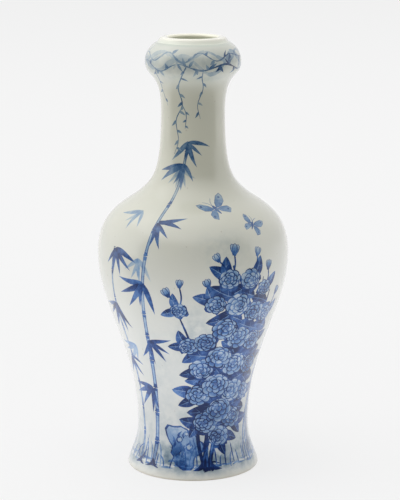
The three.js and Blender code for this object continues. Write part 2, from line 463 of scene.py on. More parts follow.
def butterfly(degrees, height, size, turn):
    spot = spotAt(degrees, height)
    for side, far in ((-1, wing["farSide"]), (1, 1.0)):
        for part, fill in wing["fills"].items():
            points = np.array(wing[part]) * (side * far, 1) * size
            middle = points.mean(axis=0)
            inner = middle + (points - middle) * (1 - wing["line"] / size * 1.6)
            dot = oval(middle + (points[3] - middle) * 0.45, size * 0.09, size * 0.09, 7)
            paintAt(spot, turn, points, wing["edge"])
            paintAt(spot, turn, inner, wing["dark"], fade=((0, 0), points[3], wing["pale"] * fill))
            paintAt(spot, turn, dot, wing["edge"])
    body = placed(spot, turn, [(0, 0.28 * size), (0, 0), (0, -0.55 * size)])
    brush(body, size * 0.2, wing["body"], start=0.7, end=0.3, step=0.6)
    for side in (-1, 1):
        feeler = [(0, 0.28 * size), (side * 0.12 * size, 0.6 * size), (side * 0.34 * size, 0.85 * size)]
        brush(placed(spot, turn, feeler), 0.26, wing["feeler"], start=1, end=0.6, step=0.7)


vine = {  # depths of cobalt, and where the brush is freshly loaded: degrees, how far that lasts, how much
    "depth": 1.9, "leafDepth": (0.7, 2.8), "tendrilDepth": 2.0, "plain": 0.7,
    "loaded": ((48, 34, 1.4), (-150, 30, 1.0)),
}


def vineBand(height, swing, waves, seed, broad=1.0, depth=1.0, leaves=2):  # runs right round the bulb
    rng = random.Random(seed)

    def strength(degrees):
        fresh = (gain * math.exp(-((degrees - at) / reach) ** 2) for at, reach, gain in vine["loaded"])
        return depth * sum(fresh, vine["plain"])

    def swung(k):
        ripple = math.sin(math.tau * k * round(1.2 * waves) / (4 * waves) + seed)
        return height + swing * (math.sin(math.tau * k / 4) + 0.45 * ripple)

    for k in range(waves * 4):
        course = [(-180 + 90 * (k + part) / waves, swung(k + part)) for part in (0, 0.25, 0.5, 0.75, 1)]
        width = broad * rng.uniform(0.45, 1.15)
        tone = vine["depth"] * strength(course[0][0])
        brush(degreesPath(*course), width, tone, start=0.7, end=1.0, rng=rng, step=1.0)
    for k in range(waves * 4):
        degrees = -180 + 360 * (k + 0.5) / (waves * 4)
        for lean in (-0.7, 0.5)[:leaves]:
            turn = (0 if k % 2 else math.pi) + lean + rng.uniform(-0.3, 0.3)
            at, length, width = degrees + rng.uniform(-3, 3), rng.uniform(2.2, 5.4), rng.uniform(0.9, 2.0)
            tone = rng.uniform(*vine["leafDepth"]) * strength(degrees)
            bladeLeaf(at, swung(k + 0.5), length, width, turn, tone)


def tendril(points, width, seed, leaves=7, size=3.4):
    rng = random.Random(seed)
    path = degreesPath(*points)
    brush(path, width, vine["tendrilDepth"], start=1, end=0.35, rng=rng)
    line = smoothPath(path)
    for k in range(leaves):
        angle, length = line[int((k + 0.7) / (leaves + 0.5) * len(line))]
        turn = math.pi + (1 if k % 2 else -1) * rng.uniform(0.5, 1.1)
        bladeLeaf(math.degrees(angle), float(heightAt(length)), size * rng.uniform(0.8, 1.25), size * 0.42,
                  turn, vine["tendrilDepth"] * rng.uniform(0.7, 1.2))


stone = {  # a worn garden rock, outlined and washed: bumps, and holes as shares of its size
    "bumps": ((2, 0.16), (3, 0.15), (5, 0.1), (7, 0.07), (11, 0.04)),
    "holes": ((-0.28, 0.32, 0.19), (0.3, -0.02, 0.22), (-0.14, -0.36, 0.17), (0.12, 0.6, 0.12)),
    "line": 0.9, "lineDepth": 3.0, "lowDepth": 1.9, "highDepth": 0.35, "strokes": 16,
}


def rock(degrees, height, size, seed):
    rng = random.Random(seed)
    spot = spotAt(degrees, height)
    t = around(32)
    bumps = 1 + sum(share * np.sin(count * t + rng.uniform(0, 6)) for count, share in stone["bumps"])
    body = stacked(np.cos(t) * size[0], np.sin(t) * size[1]) * bumps[:, None]
    inner = body * (1 - stone["line"] / size[0], 1 - stone["line"] / size[1])
    paintAt(spot, 0, body, stone["lineDepth"])
    paintAt(spot, 0, inner, stone["lowDepth"], fade=((0, -size[1]), (0, size[1]), stone["highDepth"]))
    t = t[::3]
    for x, y, r in stone["holes"]:
        hole = stacked((x + r * np.cos(t)) * size[0], (y + 0.9 * r * np.sin(t)) * size[1])
        middle = hole.mean(axis=0)
        paintAt(spot, 0, hole, stone["lineDepth"])
        paintAt(spot, 0, middle + (hole - middle) * 0.66 + (0.15, 0.1), stone["highDepth"])
    for _ in range(stone["strokes"]):
        x, y = rng.uniform(-0.65, 0.65) * size[0], rng.uniform(-0.75, 0.5) * size[1]
        stroke = [(x, y), (x + rng.uniform(-0.8, 0.8), y + 1.6), (x + rng.uniform(-1.4, 1.4), y + 3.6)]
        width, depth = rng.uniform(0.5, 1.3), rng.uniform(1.2, 3.2)
        brush(placed(spot, 0, stroke), width, depth, start=0.9, end=0.2, rng=rng)


clump = {  # the flowers on the front, as degrees and heights
    "between": (12.4, 15.8),  # how far apart blooms are that a leaf crosses between
    "stems": (
        ((12, 5), (13, 16), (20, 38), (32, 64), (30, 92), (24, 116)),
        ((14, 5), (22, 20), (38, 46), (50, 80), (54, 100)), ((11, 5), (5, 22), (8, 44), (0, 70), (-10, 92)),
        ((32, 64), (44, 84), (46, 108)), ((13, 5), (18, 9), (26, 8))),
    "blooms": (  # with the radius
        (27, 22, 6.4), (13, 30, 7.0), (42, 31, 6.6), (27, 36, 7.6), (53, 44, 6.0), (5, 45, 6.8),
        (40, 46, 7.4), (21, 50, 7.8), (55, 59, 6.2), (7, 60, 6.8), (36, 61, 7.6), (21, 66, 7.4),
        (50, 73, 6.6), (-3, 73, 5.6), (9, 75, 6.2), (35, 76, 7.4), (22, 82, 7.2), (55, 87, 5.4),
        (43, 90, 6.6), (29, 95, 7.4), (14, 96, 5.8), (48, 102, 5.0), (36, 108, 6.4), (22, 109, 6.2),
        (-9, 93, 4.6)),
    "leaves": (  # the bloom that each is set off, its turn and its length
        (0, -1.9, 12), (0, -2.9, 11), (1, 1.5, 14), (1, 2.3, 12), (2, -1.6, 13), (4, -1.4, 12), (5, 1.3, 14),
        (5, 2.2, 12), (8, -1.2, 12), (9, 1.9, 12), (10, -0.4, 13), (12, -1.3, 12), (13, 1.7, 11),
        (13, 0.6, 11), (15, -1.1, 14), (17, -1.0, 11), (20, 1.2, 13), (20, 0.4, 11), (21, -0.9, 11),
        (22, -0.5, 13), (23, 0.9, 13), (23, 0.1, 12), (24, 1.9, 10), (24, 0.3, 10), (18, -1.4, 13),
        (11, 2.6, 11), (2, -2.5, 12)),
    "buds": (  # the bloom, and the bud's own degrees, height and radius
        (23, 25, 122, 2.5), (24, -15, 101, 2.3), (21, 50, 112, 2.2), (17, 62, 97, 2.1),
        (22, 41, 120, 2.0), (24, -8, 106, 1.9), (20, 9, 106, 2.1), (23, 15, 119, 2.0)),
}


def leafBetween(one, other, span, seed, rng, lobed):
    middle, rise = (one[1] + other[1]) / 2, one[1] - other[1]
    radius = float(radiusAt(lengthAt(middle)))
    across = math.radians(one[0] - other[0]) * radius
    apart = math.hypot(across, rise)
    if span[0] < apart < span[1]:
        length = 1.05 * apart
        degrees = (one[0] + other[0]) / 2 + math.degrees(rise / apart * length / 2 / radius)
        height = middle - across / apart * length / 2
        veinedLeaf(degrees, height, length, math.atan2(rise, across), seed, rng.uniform(0.8, 1.5), lobed)


def paintClump(plan, seed, flowerOf, lobed):
    rng = random.Random(seed)
    blooms = plan["blooms"]
    for k, path in enumerate(plan["stems"]):
        brush(degreesPath(*path), max(1.1, 2.8 - 0.45 * k), 4.8, start=0.95, end=0.3, rng=rng)
    for k, (bloom, turn, length) in enumerate(plan["leaves"]):
        turn += rng.uniform(-0.1, 0.1)
        veinedLeaf(*blooms[bloom][:2], length, turn, seed + k, rng.uniform(0.85, 1.15), lobed)
    for bloom, degrees, height, _ in plan["buds"]:
        start = blooms[bloom][:2]
        middle = ((start[0] + degrees) / 2 + 1.5, (start[1] + height) / 2)
        brush(degreesPath(start, middle, (degrees, height)), 0.9, 3.4, start=1, end=0.8, rng=rng)
    for k, bloom in enumerate(blooms):
        for other in blooms[:k]:
            leafBetween(bloom, other, plan["between"], seed + 300 + k, rng, lobed)
    for degrees, height, radius in blooms:  # the dark gap under each bloom
        t = around(18)
        reach = radius * (0.96 + 0.14 * np.sin(5 * t + rng.uniform(0, 6)) + 0.08 * np.sin(8 * t))
        gap = stacked(reach * np.cos(t), 0.9 * reach * np.sin(t))
        gap += np.array([rng.uniform(-0.14, 0.14), rng.uniform(-0.2, 0.06)]) * radius
        paintAt(spotAt(degrees, height), 0, gap, rng.uniform(3.0, 4.4))
    for k, (degrees, height, radius) in enumerate(blooms):
        flowerOf(degrees, height, radius, seed + 100 + k, rng.uniform(0.85, 1.2))
    for bloom, degrees, height, radius in plan["buds"]:
        away = math.radians(degrees - blooms[bloom][0]) * float(radiusAt(lengthAt(height)))
        bud(degrees, height, radius, -math.atan2(away, height - blooms[bloom][1]))


def groundStrokes(first, last, seed):
    rng = random.Random(seed)
    for k in range(first, last, 7):
        degrees, height, reach = k + rng.uniform(-3, 3), 6.5 + rng.uniform(-0.8, 2.5), rng.uniform(4, 9)
        middle = (degrees, height + rng.uniform(-0.6, 0.8))
        width, depth = rng.uniform(0.7, 1.8), rng.uniform(0.5, 1.4)
        brush(degreesPath((degrees - reach, height), middle, (degrees + reach, height)), width, depth,
              start=0.3, end=0.2, mode="add", rng=rng)


def groundGrass(rng, count, first, apart, depths, seed):
    for k in range(count):
        degrees = first + apart * k + rng.uniform(-2, 2)
        height, reach, lean = 5.5 + rng.uniform(0, 2), rng.uniform(5, 14), rng.uniform(-6, 6)
        grass(degrees, height, reach, lean, 0.8, rng.uniform(*depths), seed + k)


def paintBamboo(plan):
    for k, (width, path) in enumerate(plan["stalks"]):
        stalk(degreesPath(*path), width, plan["stalkSeed"] + k)
    for k, (degrees, height, turn, size, count) in enumerate(plan["sprays"]):
        tone = plan["highDepth"] if height >= 150 else plan["depth"]
        leafSpray(degrees, height, turn, size, count, plan["spraySeed"] + k, depth=tone)


front = {  # sprays: degrees, height, turn, size and number of leaves
    "stalks": ((2.4, ((-40, 5.5), (-38, 40), (-33, 90), (-28, 125), (-20, 150), (-9, 172))),  # width, path
               (1.8, ((-57, 5.5), (-61, 40), (-59, 85), (-54, 122)))),
    "sprays": (
        (-41, 47, 2.5, 14, 5), (-63, 62, 3.5, 12, 4), (-34, 74, 3.7, 15, 5), (-58, 92, 2.7, 15, 5),
        (-31, 106, 2.5, 16, 5), (-52, 122, 3.4, 14, 5), (-25, 136, 3.9, 14, 5), (-15, 162, 2.7, 14, 5),
        (-8, 173, 3.5, 12, 5)),
    "depth": 4.0, "highDepth": 2.7, "stalkSeed": 21, "spraySeed": 60,
    "paleSprays": ((-44, 140, 2.6), (-33, 118, 2.9), (-20, 160, 3.3), (-50, 70, 2.2)),
    "flowerRoots": (((13, 11), (7, 6.5), (0, 5.2)), ((14, 10), (19, 6.5), (27, 5.4)),
                    ((12, 9), (13, 6), (10, 4.4)), ((16, 9), (18, 6), (17, 4.6))),
    "bambooRoots": (((-40, 9), (-43, 6), (-49, 5)), ((-40, 8), (-37, 5.8), (-33, 5)),
                    ((-57, 8), (-60, 5.8), (-64, 5)), ((-57, 7), (-55, 5.6), (-51, 5))),
    "tallGrass": ((66, 70), (70, 52), (74, 80), (61, 40)),
}


def paintFront():
    rng = random.Random(11)
    groundStrokes(-90, 90, 371)
    for k, (degrees, height, turn) in enumerate(front["paleSprays"]):
        leafSpray(degrees, height, turn, 13, 4, 40 + k, depth=0.9)
    paintBamboo(front)
    rock(-9, 17, size=(9, 11), seed=94)
    paintClump(clump, seed=100, flowerOf=camelliaFlower, lobed=0.0)
    for width, roots in ((2.6, front["flowerRoots"]), (1.4, front["bambooRoots"])):
        for root in roots:
            brush(degreesPath(*root), width, 4.4, start=0.9, end=0.1, rng=rng)
    butterfly(20, 142, size=8.0, turn=0.5)
    butterfly(104, 121, size=7.0, turn=0.4)
    butterfly(44, 134, size=6.0, turn=-0.6)
    groundGrass(rng, count=34, first=-82, apart=5, depths=(1.2, 2.8), seed=300)
    for k, (degrees, reach) in enumerate(front["tallGrass"]):
        grass(degrees, 5.5, reach, 10 - 6 * (k % 3), 1.1, 2.2, 340 + k)
    tendril(((-8, 212), (-16, 206), (-24, 200), (-19, 192), (-31, 184), (-26, 174), (-33, 167)), 0.6, 351,
            leaves=10)
    tendril(((-19, 192), (-12, 187), (-14, 180)), 0.45, 354, leaves=4, size=2.6)
    tendril(((12, 211), (12, 206), (16, 200), (8, 192), (13, 185)), 0.5, 352, leaves=5, size=3.0)
    tendril(((-50, 211), (-54, 206), (-60, 199), (-50, 191)), 0.5, 353, leaves=4, size=3.0)


backClump = {
    "between": (12.4, 14.8),
    "stems": (
        ((220, 5), (216, 30), (206, 58), (207, 80)), ((221, 5), (229, 26), (238, 46), (236, 62), (230, 74)),
        ((215, 64), (214, 76), (218, 88)), ((219, 5), (210, 14), (198, 22)),
        ((222, 5), (232, 13), (243, 20))),
    "blooms": (
        (199, 25, 6.2), (243, 21, 6.0), (222, 29, 7.2), (207, 39, 7.0), (237, 36, 6.8), (251, 49, 5.4),
        (224, 48, 7.4), (203, 56, 6.4), (238, 61, 6.8), (214, 66, 7.2), (229, 74, 6.0), (205, 81, 6.2),
        (218, 88, 5.2)),
    "leaves": (
        (0, 1.6, 13), (0, 2.6, 12), (1, -1.5, 13), (1, -2.5, 12), (3, 1.6, 14), (3, 2.4, 12), (4, -1.4, 13),
        (5, -0.9, 13), (6, -0.3, 13), (7, 1.5, 13), (7, 2.3, 11), (8, -1.2, 12), (8, -0.2, 11), (9, 1.3, 13),
        (10, -1.2, 12), (11, 1.0, 13), (11, 0.1, 11), (12, -0.9, 12), (2, 2.9, 11)),
    "buds": ((11, 200, 97, 2.3), (12, 223, 103, 2.1), (8, 250, 77, 2.2), (7, 190, 69, 2.0)),
}

back = {
    "stalks": ((2.0, ((150, 5.5), (152, 40), (157, 90), (163, 125), (170, 150))),
               (1.6, ((112, 5.5), (110, 34), (104, 70), (103, 98)))),
    "sprays": (
        (148, 52, 2.5, 13, 4), (158, 84, 3.7, 14, 5), (160, 112, 2.6, 14, 4), (170, 150, 3.3, 13, 5),
        (108, 48, 3.8, 12, 4), (105, 74, 2.5, 12, 4), (103, 98, 3.3, 13, 5)),
    "depth": 3.6, "highDepth": 3.6, "stalkSeed": 23, "spraySeed": 400,
}


def paintBack():
    groundStrokes(90, 270, 372)
    paintBamboo(back)
    leafSpray(-112, 116, turn=2.8, size=13, count=4, seed=411, depth=0.9)
    rock(178, 14, size=(8, 8), seed=95)
    paintClump(backClump, seed=420, flowerOf=chrysanthemum, lobed=0.28)
    butterfly(190, 128, size=6.5, turn=-0.4)
    butterfly(-106, 132, size=5.6, turn=0.7)
    groundGrass(random.Random(12), count=30, first=82, apart=6.6, depths=(1.0, 2.2), seed=460)
    tendril(((146, 212), (150, 206), (156, 196), (148, 186), (153, 176)), 0.6, 361)
    tendril(((218, 212), (215, 206), (210, 197), (218, 189)), 0.5, 362, leaves=5, size=3.0)


paintFront()
paintBack()
vineBand(213, swing=4.0, waves=5, seed=33, broad=3.0, depth=0.26, leaves=0)
vineBand(217, swing=1.6, waves=6, seed=34, broad=2.4, depth=0.24, leaves=0)
vineBand(211.5, swing=2.4, waves=7, seed=31)
vineBand(216.5, swing=1.7, waves=8, seed=32, depth=0.8, leaves=1)
print("painted shapes:", len(shapes))

washRings = (  # number, degrees apart, then height, half width, half height and depth, or a range of each
    (22, 16.4, (5, 15), (9, 17), (4, 9), (0.2, 0.6)),
    (14, 26, (24, 36), 13, (7, 13), (0.05, 0.25)),
    (34, 10.5, (204, 216), (2.5, 8), (1.5, 4), (0.06, 0.28)),
)
washRandom = random.Random(7)
for count, apart, *ranges in washRings:
    for k in range(count):
        drawn = (washRandom.uniform(*r) if isinstance(r, tuple) else r for r in ranges)
        washes.append((-175 + apart * k, *drawn))
washes += [(0, 80, 9, 16, 0.22), (62, 60, 8, 20, 0.2), (20, 124, 12, 8, 0.15), (-30, 60, 8, 20, 0.12)]


def washAt(angle, length):
    radius = radiusAt(length)
    total = np.zeros(len(angle))
    for degrees, height, across, up, depth in washes:
        spot = spotAt(degrees, height)
        away = (angle - spot[0] + math.pi) % math.tau - math.pi
        total += depth * np.exp(-((away * radius / across) ** 2) - ((length - spot[1]) / up) ** 2)
    return total


# The flat sheets: each closed section unrolled, with the painting let in by a Delaunay triangulation

sheet = {
    "columns": 144, "flatRadius": 30.0,
    "steps": {"painted": 1.6, "plain": 2.8, "seam": 4.0, "fine": 0.6, "round": 0.35},
    "snap": 1e-4, "merge": 3e-7, "spill": 1.3,
}


def level(start, end, count=9):
    return np.linspace(np.array(start, float), np.array(end, float), count)


# The closed section of each piece: polylines with their row spacing, outside first

def walled(outer, inner):
    return [(outer, "painted"), (level(outer[-1], inner[0]), "seam"), (inner, "plain"),
            (level(inner[-1], outer[0]), "seam")]


def footRing(low, high):
    o, bevel = outline, outline["footBevel"]
    stand = cad["foot_ring"]["radius"] - bevel
    outer = between(outside, bevel, high)
    edge = arc((stand, bevel), bevel, bevel, -90, 0, count=9)
    inner = upright((stand - o["standWidth"], low), (outer[-1][0] - o["footWall"], high), 0.5, 0.5)[::-1]
    return walled(outer, inner)[:3] + [(level(inner[-1], edge[0]), "fine"), (edge, "round")]


def deepCup(low, high):
    fillet, floor = outline["floorFillet"], low + outline["floorThickness"]
    outer, inner = between(outside, low, high), between(inside, outline["innerWallFrom"], high)[::-1]
    turn = arc((inner[-1][0] - fillet, floor + fillet), fillet, fillet, 0, -90, count=17)
    return walled(outer, joined(inner, turn))[:3] + [
        (level(turn[-1], (0, floor)), "seam"), (level((0, low), outer[0]), "seam")]


def openTube(low, high):
    return walled(between(outside, low, high), between(inside, low, high)[::-1])


def hollowBulb(low, high):
    inner = between(inside, low, outline["bulbCeiling"])[::-1]
    hole, fillet, ceiling = outline["mouthRadius"], outline["mouthFillet"], inner[0][1]
    turn = arc((hole + fillet, ceiling + fillet), fillet, fillet, 180, 270, count=9)
    top = joined(level((hole, high), turn[0]), turn, level(turn[-1], inner[0]))
    return walled(between(outside, low, high), joined(top, inner))


def roundedRim(low, high):  # its side runs out in a fillet of glaze over the bulb
    o, radius, hole = outline, cad["mouth_rim"]["radius"], outline["mouthRadius"]
    middle, half = (radius + hole) / 2, (radius - hole) / 2
    lip = arc((middle, high - o["rimRound"]), half, o["rimRound"], 20, 180, count=29)
    crown = outside[outside[:, 1] > o["bulbHeight"]][::-1]
    edge = radius + o["poolWidth"]
    foot = np.array((edge, float(np.interp(edge, crown[:, 0], crown[:, 1])) - o["poolSunk"]))
    pool = bezier(foot, foot + o["poolFoot"], lip[0] + o["poolTop"], lip[0], count=14)
    return [(joined(pool, lip[:1]), "fine"), (lip, "round"), (level(lip[-1], (hole, low), 5), "plain"),
            (level((hole, low), pool[0], 5), "seam")]


sections = {"foot_ring": footRing, "lower_body": deepCup, "upper_body": openTube, "neck": openTube,
            "garlic_bulb": hollowBulb, "mouth_rim": roundedRim}


def halved(runs):  # starts a closed section in the middle of its inner wall, away from the painting
    wallAt = next(i for i, run in enumerate(runs) if run[1] == "plain")
    wall = runs[wallAt][0]
    middle = len(wall) // 2
    return [(wall[middle:], "plain")] + runs[wallAt + 1:] + runs[:wallAt] + [(wall[:middle + 1], "plain")]


def sectionOf(name):
    runs = sections[name](cad[name]["low"], cad[name]["high"])
    runs = runs[-1:] + runs[:-1] if name == "lower_body" else halved(runs)
    section, at = [], 0.0
    for points, kind in runs:
        lengths = runLength(points)
        along = np.gradient(points, axis=0)
        normals = stacked(along[:, 1], -along[:, 0])
        normals /= np.linalg.norm(normals, axis=1)[:, None]
        run = {"points": points, "kind": kind, "at": at, "lengths": at + lengths, "normals": normals}
        section.append(run)
        at += lengths[-1]
    return section


def clipped(ring, axis, limit, keepBelow):
    out = []
    for i, b in enumerate(ring):
        a = ring[i - 1]
        aIn = (a[axis] <= limit) if keepBelow else (a[axis] >= limit)
        bIn = (b[axis] <= limit) if keepBelow else (b[axis] >= limit)
        if aIn != bIn:
            t = (limit - a[axis]) / (b[axis] - a[axis])
            cut = a + (b - a) * t
            cut[axis] = limit
            out.append(cut)
        if bIn:
            out.append(b)
    return out


def shapesWithin(low, high):
    limits = ((1, high, True), (1, low, False), (0, math.pi, True), (0, -math.pi, False))
    kept = []
    for shape in shapes:
        points = shape["points"]
        if points[:, 1].max() <= low or points[:, 1].min() >= high:
            continue
        for turn in (-math.tau, 0, math.tau):
            ring = points + (turn, 0)
            if ring[:, 0].max() <= -math.pi or ring[:, 0].min() >= math.pi:
                continue
            for axis, limit, keepBelow in limits:
                over = ring[:, axis].max() > limit if keepBelow else ring[:, axis].min() < limit
                if over:
                    ring = np.array(clipped(list(ring), axis, limit, keepBelow)).reshape(-1, 2)
                if len(ring) < 3:
                    break
            if len(ring) > 2 and doubleArea(ring) > smallest:
                kept.append((ring, shape, turn))
    return kept


def depthsFor(kept, owners, corners, areas):  # corners: triangles x 3 x (angle, length on the outside)
    depth = np.zeros((len(corners), 3))
    which = np.repeat(np.arange(len(owners)), [len(o) for o in owners])
    shapeOf = np.array([f for o in owners for f in o], int)
    order = np.argsort(shapeOf, kind="stable")
    which, shapeOf = which[order], shapeOf[order]
    starts = np.searchsorted(shapeOf, np.arange(len(kept) + 1))
    spilt = 0
    for i, (ring, shape, turn) in enumerate(kept):
        faces = which[starts[i]:starts[i + 1]]
        if areas[faces].sum() > sheet["spill"] * doubleArea(ring) + 1e-3:
            spilt += 1
            continue
        value = shape["depth"]
        if shape["fade"]:
            start, end, far = shape["fade"]
            start, end = start + (turn, 0), end + (turn, 0)
            scale = np.array([float(radiusAt(start[1])), 1.0])
            along = (end - start) * scale
            t = np.clip(((corners[faces] - start) * scale) @ along / (along @ along), 0, 1)
            value = shape["depth"] + (far - shape["depth"]) * t
        depth[faces] = depth[faces] + value if shape["mode"] == "add" else value
    if spilt:
        print("  shapes left out because they spilt:", spilt)
    return depth


def rowsOf(section):  # the rows' lengths, and which of them end a run
    rows, fixedRows = [0.0], [0]
    for run in section:
        length = run["lengths"][-1] - run["at"]
        count = max(1, math.ceil(length / sheet["steps"][run["kind"]]))
        rows += list(run["at"] + length * np.arange(1, count + 1) / count)
        fixedRows.append(len(rows) - 1)
    return rows, fixedRows


def normalsOn(section, corners):  # the section's own normals, turned with each corner
    ends = np.array([run["lengths"][-1] for run in section])
    runOf = np.clip(np.searchsorted(ends, corners[:, :, 1].mean(axis=1)), 0, len(ends) - 1)
    normals = np.zeros((len(corners), 3, 3))
    for i, run in enumerate(section):
        mine = runOf == i
        turn, at = corners[mine][:, :, 0], corners[mine][:, :, 1]
        out = np.stack([np.interp(at, run["lengths"], run["normals"][:, k]) for k in (0, 1)], axis=-1)
        out /= np.linalg.norm(out, axis=-1)[..., None]
        off, up = out[..., 0], out[..., 1]
        normals[mine] = np.stack([off * np.sin(turn), -off * np.cos(turn), up], axis=-1)
    return normals


def store(mesh, name, kind, domain, values):
    field = "vector" if kind == "FLOAT_VECTOR" else "value"
    mesh.attributes.new(name, kind, domain).data.foreach_set(field, values.ravel().astype(np.float32))


def flatSheet(name):
    section = sectionOf(name)
    columns = np.linspace(-math.pi, math.pi, sheet["columns"] + 1)
    rows, fixedRows = rowsOf(section)
    width, flat = len(columns), sheet["flatRadius"]
    angle, length = np.meshgrid(columns, rows)
    points = [stacked(angle.ravel() * flat, length.ravel())]
    edges = [(row * width + k, row * width + k + 1) for row in fixedRows for k in range(width - 1)]
    painted = next((run for run in section if run["kind"] == "painted"), None)
    kept, faces, count, offset = [], [], width * len(rows), 0.0
    if painted:
        offset = painted["at"] - float(lengthAt(painted["points"][0][1]))
        kept = shapesWithin(painted["at"] - offset, painted["lengths"][-1] - offset)
    for ring, _, _ in kept:
        points.append((ring + (0, offset)) * (flat, 1))
        faces.append(list(range(count, count + len(ring))))
        count += len(ring)
    points = [Vector(point) for point in np.vstack(points).tolist()]
    made = delaunay_2d_cdt(points, edges, faces, 0, sheet["snap"], True)
    verts, triangles = np.array([tuple(v) for v in made[0]]) / (flat, 1), np.array(made[2], int)
    corners = verts[triangles]
    depth = np.zeros((len(corners), 3))
    wash = np.zeros(len(verts))
    if painted:
        span = corners[:, 1:] - corners[:, :1]
        areas = np.abs(span[:, 0, 0] * span[:, 1, 1] - span[:, 0, 1] * span[:, 1, 0])
        depth = depthsFor(kept, made[5], corners - (0, offset), areas)
        within = (verts[:, 1] >= painted["at"]) & (verts[:, 1] <= painted["lengths"][-1])
        wash[within] = washAt(verts[within, 0], verts[within, 1] - offset)

    mesh = bpy.data.meshes.new(name + "_flat")
    places = stacked(verts[:, 0], verts[:, 1] * mm, np.zeros(len(verts)))
    mesh.from_pydata(places.tolist(), [], triangles.tolist())
    store(mesh, "cobalt", "FLOAT", "CORNER", depth)
    store(mesh, "wash", "FLOAT", "POINT", wash)
    store(mesh, "facing", "FLOAT_VECTOR", "CORNER", normalsOn(section, corners))
    print(" ", name, "sheet:", len(kept), "shapes,", len(triangles), "triangles")
    return mesh, section


# Node maths written as expressions

class Wire:
    def __init__(self, tree, socket):
        self.tree, self.socket = tree, socket

    def maths(self, operation, *others, swapped=False):
        values = (*others, self) if swapped else (self, *others)
        return added(self.tree, "ShaderNodeMath", {"operation": operation}, dict(enumerate(values)))

    def __add__(self, other):
        return self.maths("ADD", other)

    def __radd__(self, other):
        return self.maths("ADD", other, swapped=True)

    def __sub__(self, other):
        return self.maths("SUBTRACT", other)

    def __rsub__(self, other):
        return self.maths("SUBTRACT", other, swapped=True)

    def __mul__(self, other):
        return self.maths("MULTIPLY", other)

    def __rmul__(self, other):
        return self.maths("MULTIPLY", other, swapped=True)

    def __rpow__(self, other):
        return self.maths("POWER", other, swapped=True)

    def ramp(self, low, high, start=0.0, end=1.0):  # a smooth step from one value to another
        sockets = {"Value": self, "From Min": low, "From Max": high, "To Min": start, "To Max": end}
        return added(self.tree, "ShaderNodeMapRange", {"interpolation_type": "SMOOTHSTEP"}, sockets, "Result")


def added(tree, kind, settings=None, sockets=None, out=0):
    node = tree.nodes.new(kind)
    for key, value in (settings or {}).items():
        setattr(node, key, value)
    for key, value in (sockets or {}).items():
        if isinstance(value, Wire):
            tree.links.new(value.socket, node.inputs[key])
        else:
            node.inputs[key].default_value = value
    if isinstance(out, tuple):
        return [Wire(tree, node.outputs[key]) for key in out]
    return Wire(tree, node.outputs[out]) if out is not None else node


def newObject(name, data):
    thing = bpy.data.objects.new(name, data)
    bpy.context.scene.collection.objects.link(thing)
    return thing


def partsOf(tree, vector):
    return added(tree, "ShaderNodeSeparateXYZ", {}, {0: vector}, (0, 1, 2))


# Geometry Nodes: wrap a flat sheet round its turned section

def wrapTree():
    tree = bpy.data.node_groups.new("wrap sheet round the turned section", "GeometryNodeTree")
    for name, kind in (("Geometry", "Geometry"), ("Section", "Object"), ("Glaze", "Material"),
                       ("Merge Distance", "Float")):
        tree.interface.new_socket(name, in_out="INPUT", socket_type="NodeSocket" + kind)
    tree.interface.new_socket("Geometry", in_out="OUTPUT", socket_type="NodeSocketGeometry")
    geometry, section, material, merge = added(tree, "NodeGroupInput", out=(0, 1, 2, 3))
    turn, length, _ = partsOf(tree, added(tree, "GeometryNodeInputPosition"))
    curve = added(tree, "GeometryNodeObjectInfo", {}, {"Object": section}, "Geometry")
    place = added(tree, "GeometryNodeSampleCurve", {"mode": "LENGTH"}, {"Curves": curve, "Length": length},
                  "Position")
    radius, _, height = partsOf(tree, place)
    across, away = radius * turn.maths("SINE"), radius * turn.maths("COSINE") * -1
    target = added(tree, "ShaderNodeCombineXYZ", {}, {0: across, 1: away, 2: height})
    for step, sockets in (
            ("SetPosition", {"Position": target}), ("MergeByDistance", {"Distance": merge}),
            ("SetShadeSmooth", {}), ("RealizeInstances", {}), ("SetMaterial", {"Material": material})):
        geometry = added(tree, "GeometryNode" + step, {}, {"Geometry": geometry, **sockets})
    added(tree, "NodeGroupOutput", {}, {"Geometry": geometry}, None)
    return tree


wrap = wrapTree()
wrapSockets = {item.name: item.identifier for item in wrap.interface.items_tree if item.in_out == "INPUT"}


def turnedPiece(name, material):
    flat, section = flatSheet(name)
    line = bpy.data.curves.new(name + "_section", "CURVE")
    line.dimensions = "3D"
    points = joined(*[run["points"] for run in section])
    spline = line.splines.new("POLY")
    spline.points.add(len(points) - 1)
    for point, (radius, height) in zip(spline.points, points):
        point.co = (radius * mm, 0, height * mm, 1)
    guide, unrolled = newObject(name + "_section", line), newObject(name + "_sheet", flat)
    modifier = unrolled.modifiers.new("wrap", "NODES")
    modifier.node_group = wrap
    modifier[wrapSockets["Section"]] = guide
    modifier[wrapSockets["Glaze"]] = material
    modifier[wrapSockets["Merge Distance"]] = sheet["merge"]
    graph = bpy.context.evaluated_depsgraph_get()
    mesh = bpy.data.meshes.new_from_object(unrolled.evaluated_get(graph), depsgraph=graph)
    mesh.name = name + "_visual"
    for thing in (unrolled, guide):
        bpy.data.objects.remove(thing)
    bpy.data.meshes.remove(flat)
    facing = np.zeros(len(mesh.loops) * 3, np.float32)
    mesh.attributes["facing"].data.foreach_get("vector", facing)
    mesh.attributes.remove(mesh.attributes["facing"])
    mesh.normals_split_custom_set(facing.reshape(-1, 3).tolist())
    piece = newObject(name + "_visual", mesh)
    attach(piece, "root")
    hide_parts(name)
    return piece


# Glazes: the cobalt soaks up light by its depth, the thin washes more greyly than the strokes

